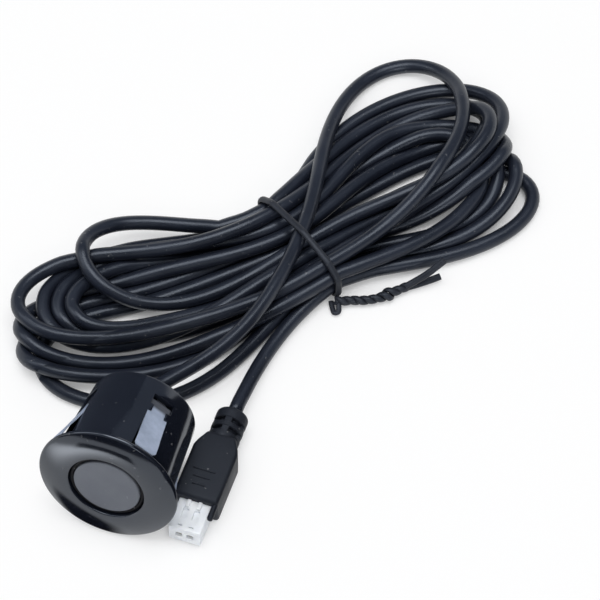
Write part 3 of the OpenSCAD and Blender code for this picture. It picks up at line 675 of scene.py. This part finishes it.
dress("transducer_can", finish(
    "can_face", (0.115, 0.123, 0.143), (0.137, 0.145, 0.165), (0.44, 0.54), patches=260, grain=3600,
    depth=0.00003, dust=0.25, Metallic=0.15, Specular_IOR_Level=0.4, Specular_Tint=COOL))
dress("isolating_ring", finish(
    "ring_rubber", (0.004, 0.004, 0.006), (0.007, 0.007, 0.009), (0.5, 0.65), patches=200, grain=2600,
    dust=0.9, specks=900, Specular_IOR_Level=0.15))
dress("piezo_disc", finish("ceramic", (0.62, 0.52, 0.33), (0.72, 0.62, 0.42), (0.5, 0.65), grain=4000))
dress("damping_pad", finish("pad_foam", (0.58, 0.54, 0.45), (0.7, 0.66, 0.56), (0.85, 0.95), grain=1800,
                            depth=0.0001))
dress("terminal_plate", finish("terminal_board", (0.36, 0.22, 0.08), (0.46, 0.29, 0.12), (0.45, 0.6),
                               grain=2200))
tinned = finish("tinned_brass", (0.58, 0.54, 0.42), (0.72, 0.69, 0.58), (0.24, 0.42), patches=500, grain=3000,
                depth=0.00001, Metallic=1.0)
for node in ("terminal_pins", "piezo_leads", "core_leads"):
    dress(node, tinned)


# Capsule, resin and boot: the capsule is a matt black moulding that carries the transducer, its
# rear is filled with black casting resin, and a soft ribbed boot eases the cable out of it.
dress("capsule", finish("capsule_plastic", (0.008, 0.009, 0.012), (0.013, 0.014, 0.018), (0.45, 0.6),
                        grain=2600, depth=0.00003))
resin = finish("resin", (0.008, 0.008, 0.009), (0.014, 0.014, 0.016), (0.12, 0.26), patches=160, grain=700,
               depth=0.00006, dust=0.6)
dress("potting", resin)
# the resin's surface creeps up at the boot and at the capsule's wall
meniscus = turned("resin_meniscus", [
    [2.83, 18.16], [2.83, 18.5], [2.96, 18.36], [3.2, 18.27], [3.7, 18.22], [4.8, 18.21], [5.8, 18.22],
    [6.3, 18.26], [6.56, 18.32], [6.74, 18.44], [6.74, 18.16]])
placed(meniscus, PROBE)
meniscus.data.materials.append(resin)
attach(meniscus, "probe")

# the boot's grooves: how many, the first one's place and radius, and the steps to the next
BOOT_GROOVES, GROOVE_AT, GROOVE_R, GROOVE_PITCH, BOOT_TAPER = 3, 19.1, 2.66, 1.05, 0.27
boot_outline = [[1.32, 16.64], [2.78, 16.64], [2.8, 16.66], [2.8, 18.72], [2.72, 18.86]]
for k in range(BOOT_GROOVES):
    z, r = GROOVE_AT + GROOVE_PITCH * k, GROOVE_R - BOOT_TAPER * k
    boot_outline += [[r - 0.02, z - 0.18], [r - 0.3, z - 0.06], [r - 0.34, z + 0.14], [r - 0.16, z + 0.3],
                     [r - 0.17, z + 0.72]]
boot_outline += [[1.86, 22.1], [1.8, 22.5], [1.66, 22.66], [1.5, 22.7], [1.32, 22.7]]
boot = turned("strain_relief", boot_outline, 64)
placed(boot, PROBE)
boot.data.materials.append(finish("boot_rubber", (0.007, 0.008, 0.011), (0.011, 0.012, 0.017), (0.45, 0.6),
                                  grain=3200, depth=0.00003, dust=0.7, Specular_IOR_Level=0.4,
                                  Specular_Tint=COOL))
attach(boot, "probe")
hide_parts("cable_boot")
dress("cable_end", jacket)


# Plug: a black moulding over the cable's end and the connector's rear. It has a slotted collar
# that lets the cable bend, three short grip ribs on top and a leg that guards the connector.
PLUG_X, HOOD_Y, SHOULDER_Y, HOOD_W, HOOD_H, HOOD_EDGE, CABLE_Z = 13.5, -2.5, 7.7, 8.0, 6.2, 0.62, 3.1
# the shoulder narrows in three steps: length, then width and height of each against the last
SHOULDER_STEPS = ((1.2, 0.9, 0.985), (1.2, 0.835, 0.97), (1.0, 0.86, 0.96))
# two corners of the leg, and of the pocket that takes the connector
LEG_LOW, LEG_HIGH = (PLUG_X + 2.97, HOOD_Y - 2.9, 4.5), (PLUG_X + 4.0, HOOD_Y + 1, 5.6)
POCKET_LOW, POCKET_HIGH = (PLUG_X - 2.91, HOOD_Y - 1, 0.64), (PLUG_X + 2.91, 3.16, 4.76)
# collar: its place, radius, the radius of the web in its slots, pitch of its three rings, length
COLLAR_Y, COLLAR_R, WEB_R, RING_PITCH, COLLAR_LEN, COLLAR_DOME = 11.1, 2.85, 1.92, 1.83, 5.9, 0.9
# grip ribs: half length of the shortest and growth of the next, place and pitch, width and height
RIB_HALF, RIB_GROWTH, RIB_Y, RIB_PITCH, RIB_W, RIB_H = 1.2, 0.4, 2.45, 1.5, 0.3, 0.2
RIB_X = PLUG_X - 0.4


def rounded_box(name, low, high, edge, segments=3):
    """A block between two corners with round edges."""
    piece = box(name, low, high)
    modified(piece, "BEVEL", width=edge, segments=segments, limit_method="ANGLE", angle_limit=0.8)
    return piece


def fused(piece, other):
    """Makes another block one with a piece."""
    modified(piece, "BOOLEAN", operation="UNION", object=other, solver="EXACT")
    bpy.data.objects.remove(other)


hood = box("plug_moulding", (PLUG_X - HOOD_W / 2, HOOD_Y, 0), (PLUG_X + HOOD_W / 2, SHOULDER_Y, HOOD_H))
bpy.ops.object.mode_set(mode="EDIT")
bpy.ops.mesh.select_mode(type="FACE")
bpy.ops.mesh.select_all(action="DESELECT")
bpy.ops.object.mode_set(mode="OBJECT")
for face in hood.data.polygons:
    face.select = face.normal.y > 0.9
bpy.ops.object.mode_set(mode="EDIT")
for step, width, height in SHOULDER_STEPS:
    bpy.ops.mesh.extrude_region_move(TRANSFORM_OT_translate={"value": (0, step, 0)})
    bpy.ops.transform.resize(value=(width, 1, height), center_override=(PLUG_X, 0, CABLE_Z))
bpy.ops.object.mode_set(mode="OBJECT")
modified(hood, "BEVEL", width=HOOD_EDGE, segments=5, limit_method="ANGLE", angle_limit=0.8)
fused(hood, rounded_box("guard_leg", LEG_LOW, LEG_HIGH, 0.45, 4))
cut(hood, box("pocket", POCKET_LOW, POCKET_HIGH))
collar_outline = [[1.32, -0.4], [2.3, -0.4]]
for k in range(3):
    z = RING_PITCH * k
    out = [[WEB_R, z - 0.02], [2.72, z], [COLLAR_R, z + 0.1], [COLLAR_R, z + 0.78], [2.76, z + 0.88],
           [WEB_R, z + 0.9]]
    collar_outline += out if k else [[2.72, -0.3]] + out[2:]
collar_outline = collar_outline[:-3]
collar_outline += arc(COLLAR_R - COLLAR_DOME, 5.0, COLLAR_DOME, 0, 90, 9) + [[1.32, COLLAR_LEN]]
on_cable = Matrix.Translation((PLUG_X, COLLAR_Y, CABLE_Z)) @ Matrix.Rotation(-np.pi / 2, 4, "X")
collar = turned("collar", collar_outline, 64)
collar.data.transform(on_cable)
additions = [collar]
for turn in range(4):
    bar = rounded_box("bar", (-0.62, 1.5, -0.3), (0.62, 2.74, 5.0), 0.12, 2)
    bar.data.transform(on_cable @ Matrix.Rotation(np.pi / 2 * turn, 4, "Z"))
    additions.append(bar)
for k in range(3):
    half, y = RIB_HALF + RIB_GROWTH * k, HOOD_Y + RIB_Y + RIB_PITCH * k
    additions.append(rounded_box("rib", (RIB_X - half, y, HOOD_H - RIB_H),
                                 (RIB_X + half, y + RIB_W, HOOD_H + RIB_H), 0.12))
only(hood)
for part in additions:
    part.select_set(True)
bpy.ops.object.join()
placed(hood, angle=0.6)
hood.data.materials.append(finish("hood_plastic", (0.0085, 0.0100, 0.0150), (0.0125, 0.0145, 0.0205),
                                  (0.5, 0.62), patches=220, grain=5200, depth=0.00005, dust=0.4,
                                  Specular_IOR_Level=0.35, Specular_Tint=COOL))
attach(hood, "probe")
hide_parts("plug_hood")
dress("plug_wires", jacket)


# Connector: a milky nylon shell pushed into the hood, with a key rib over each way and a latch
# window in it, and two tinned crimp contacts inside.
SHELL_W, SHELL_FRONT, SHELL_BACK, SHELL_LOW, SHELL_TOP = 5.7, -8.3, 3.1, 0.7, 4.7
# each way: its distance from the middle, half width of its cavity, height of its contact, key rib
WAY, CAVITY, CONTACT_Z, KEY_HALF_W, KEY_H = 1.0, 0.58, 2.7, 0.35, 0.5
shell = rounded_box("connector_shell", (PLUG_X - SHELL_W / 2, SHELL_FRONT, SHELL_LOW),
                    (PLUG_X + SHELL_W / 2, SHELL_BACK, SHELL_TOP), 0.16, 4)
for x in (PLUG_X - WAY, PLUG_X + WAY):
    fused(shell, rounded_box("key", (x - KEY_HALF_W, HOOD_Y - 1.5, SHELL_TOP - KEY_H),
                             (x + KEY_HALF_W, HOOD_Y - 0.02, SHELL_TOP + KEY_H), 0.12))
    cut(shell, box("cavity", (x - CAVITY, SHELL_FRONT - 1, CONTACT_Z - CAVITY),
                   (x + CAVITY, SHELL_BACK + 1, CONTACT_Z + CAVITY)))
    cut(shell, box("window", (x - 0.5, SHELL_FRONT + 2.2, SHELL_TOP - 0.5),
                   (x + 0.5, SHELL_FRONT + 4.2, SHELL_TOP + 0.5)))
    cut(shell, box("notch", (x - 0.4, SHELL_FRONT + 0.6, SHELL_TOP - 0.4),
                   (x + 0.4, SHELL_FRONT + 0.9, SHELL_TOP + 0.5)))
placed(shell, angle=0.6)
shell.data.materials.append(finish(
    "connector_nylon", (0.80, 0.83, 0.86), (0.88, 0.90, 0.93), (0.36, 0.48), patches=350, grain=2600,
    depth=0.00003, dust=0.0, Subsurface_Weight=0.25, Subsurface_Radius=(0.0012, 0.0012, 0.0014),
    Subsurface_Scale=1.0))
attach(shell, "probe")
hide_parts("connector_housing")
dress("contact_left", tinned)
dress("contact_right", tinned)


# Studio: a pale table that stands as pure white before the camera and keeps soft shadows, one
# large soft lamp above, and weaker ones from the left and the front. Dark and bright cards round
# the probe, seen only in gloss, paint reflections onto its black surfaces; none casts shade or shows to the
# camera.
WHITE_SHARE, SHADOW_REACH, SHADOW_DEPTH = 0.88, 0.008, 0.7
TABLE_MIDDLE = Vector((0.01, 0.04, 0))
bpy.ops.object.select_all(action="DESELECT")
bpy.ops.mesh.primitive_plane_add(size=6, location=(0, 0, 0))
table = bpy.context.active_object
table.name = "table"
white = bpy.data.materials.new("table_white")
white.use_nodes = True
nodes, links = white.node_tree.nodes, white.node_tree.links
shader = nodes["Principled BSDF"]
shader.inputs["Base Color"].default_value = (0.90, 0.905, 0.91, 1)
shader.inputs["Roughness"].default_value = 0.7


def seen_directly(nodes, links):
    """One for rays from the camera, from gloss and through glass, and nothing for the light itself."""
    paths = added(nodes, "LightPath")
    value = paths.outputs["Is Camera Ray"]
    for other in ("Is Glossy Ray", "Is Transmission Ray"):
        either = added(nodes, "Math", "MAXIMUM")
        links.new(value, either.inputs[0])
        links.new(paths.outputs[other], either.inputs[1])
        value = either.outputs["Value"]
    return value


share = added(nodes, "Math", "MULTIPLY", second=WHITE_SHARE)
links.new(seen_directly(nodes, links), share.inputs[0])
nearby = added(nodes, "AmbientOcclusion", Distance=SHADOW_REACH)
nearby.samples = 8
contact = added(nodes, "Math", "POWER", second=SHADOW_DEPTH)
links.new(nearby.outputs["AO"], contact.inputs[0])
shaded = added(nodes, "Math", "MULTIPLY")
links.new(share.outputs["Value"], shaded.inputs[0])
links.new(contact.outputs["Value"], shaded.inputs[1])
glow = added(nodes, "Emission", Color=(1, 1, 1, 1))
blend = added(nodes, "MixShader")
links.new(shaded.outputs["Value"], blend.inputs["Fac"])
links.new(shader.outputs["BSDF"], blend.inputs[1])
links.new(glow.outputs["Emission"], blend.inputs[2])
links.new(blend.outputs["Shader"], nodes["Material Output"].inputs["Surface"])
table.data.materials.append(white)

# white behind the table up to a height, and a grey-blue ceiling over it that only gloss can show
world = bpy.data.worlds.new("studio")
world.use_nodes = True
bpy.context.scene.world = world
nodes, links = world.node_tree.nodes, world.node_tree.links
fill = nodes["Background"]
fill.inputs["Color"].default_value = (0.9, 0.94, 1, 1)
fill.inputs["Strength"].default_value = 0.3
direction = added(nodes, "TexCoord")
split = added(nodes, "SeparateXYZ")
links.new(direction.outputs["Generated"], split.inputs["Vector"])
height = added(nodes, "MapRange", From_Min=0.25, From_Max=0.4)
links.new(split.outputs["Z"], height.inputs["Value"])
backdrop = added(nodes, "Background")
links.new(mixed(nodes, links, height.outputs["Result"], (1.0, 1.0, 1.0), (0.26, 0.29, 0.35)),
          backdrop.inputs["Color"])
blend = added(nodes, "MixShader")
links.new(seen_directly(nodes, links), blend.inputs["Fac"])
links.new(fill.outputs["Background"], blend.inputs[1])
links.new(backdrop.outputs["Background"], blend.inputs[2])
links.new(blend.outputs["Shader"], nodes["World Output"].inputs["Surface"])


def soft_lamp(name, place, size, power, colour):
    """A rectangular soft box at a place, turned to the middle of the table."""
    light = bpy.data.lights.new(name, "AREA")
    light.shape = "RECTANGLE"
    light.size, light.size_y = size
    light.energy = power
    light.color = colour
    lamp = bpy.data.objects.new(name, light)
    lamp.location = place
    lamp.rotation_euler = (TABLE_MIDDLE - Vector(place)).to_track_quat("-Z", "Y").to_euler()
    lamp.visible_camera = False
    bpy.context.scene.collection.objects.link(lamp)


soft_lamp("key_lamp", (0.0, 0.06, 0.85), (0.65, 0.5), 4.6, (1, 1, 1))
soft_lamp("side_lamp", (-0.6, -0.1, 0.6), (0.4, 0.6), 1.3, (0.97, 0.98, 1))
soft_lamp("front_lamp", (0.45, -0.7, 0.5), (0.5, 0.4), 2.4, (1, 1, 1))

BLACK, DUSK = (0.010, 0.010, 0.012, 1), (0.17, 0.19, 0.24, 1)
UPRIGHT = (np.pi / 2, 0, 0)


def card(name, place, rotation, size, tone=BLACK, glow=0, soft=0):
    """A card that shows in gloss only and paints a dark or glowing reflection: square, or an oval with a soft
    edge.
    """
    bpy.ops.object.select_all(action="DESELECT")
    bpy.ops.mesh.primitive_plane_add(size=1, location=place, rotation=rotation)
    piece = bpy.context.active_object
    piece.scale = (*size, 1)
    piece.name = name
    material = bpy.data.materials.new(name)
    material.use_nodes = True
    nodes, links = material.node_tree.nodes, material.node_tree.links
    nodes.remove(nodes["Principled BSDF"])
    spot = added(nodes, "TexCoord")
    reach = added(nodes, "VectorMath", "LENGTH")
    links.new(spot.outputs["Object"], reach.inputs[0])
    within = added(nodes, "MapRange", From_Min=0.5, From_Max=0.5 * (1 - soft), To_Max=glow if glow else 1)
    within.interpolation_type = "SMOOTHSTEP"
    links.new(reach.outputs["Value"], within.inputs["Value"])
    clear = added(nodes, "BsdfTransparent")
    if glow:
        face = added(nodes, "Emission")
        links.new(within.outputs["Result"], face.inputs["Strength"])
        blend = added(nodes, "AddShader")
    else:
        face = added(nodes, "BsdfDiffuse", Color=tone)
        blend = added(nodes, "MixShader", Fac=1)
        if soft:
            links.new(within.outputs["Result"], blend.inputs["Fac"])
    links.new(clear.outputs[0], blend.inputs[-2])
    links.new(face.outputs[0], blend.inputs[-1])
    links.new(blend.outputs[0], nodes["Material Output"].inputs["Surface"])
    piece.data.materials.append(material)
    for kind in ("camera", "diffuse", "transmission", "shadow"):
        setattr(piece, "visible_" + kind, False)


# painted reflections: dark cards before the probe and to its right, and a dusky one behind it at the left
card("front_card", (0, -0.08, 0.027), UPRIGHT, (1.0, 0.032))
card("edge_card", (-0.0105, -0.045, 0.0055), UPRIGHT, (0.023, 0.0075))
card("side_card", (0.027, -0.012, 0.04), (np.pi / 2, 0, np.pi / 2), (0.096, 0.08))
card("left_card", (-0.019, 0.016, 0.02), (np.pi / 2, 0, np.pi / 4), (0.044, 0.04), DUSK)
# painted shadow: a dark soft card on the table before the flange, seen only in gloss, stands in for the
# contact shadow that the glowing table hides
card("painted_shadow_card", (-0.0052, -0.0123, 0.0002), (0, 0, 0.30), (0.021, 0.0074), soft=0.5)
# painted reflection: a glowing card that is no lamp, seen only in gloss, brightens the upper left of the
# flange's face
card("bright_card", (-0.022, -0.040, 0.0003), (0, 0, 0), (0.05, 0.036), glow=3.2, soft=0.9)

bpy.context.scene.view_settings.view_transform = "Standard"
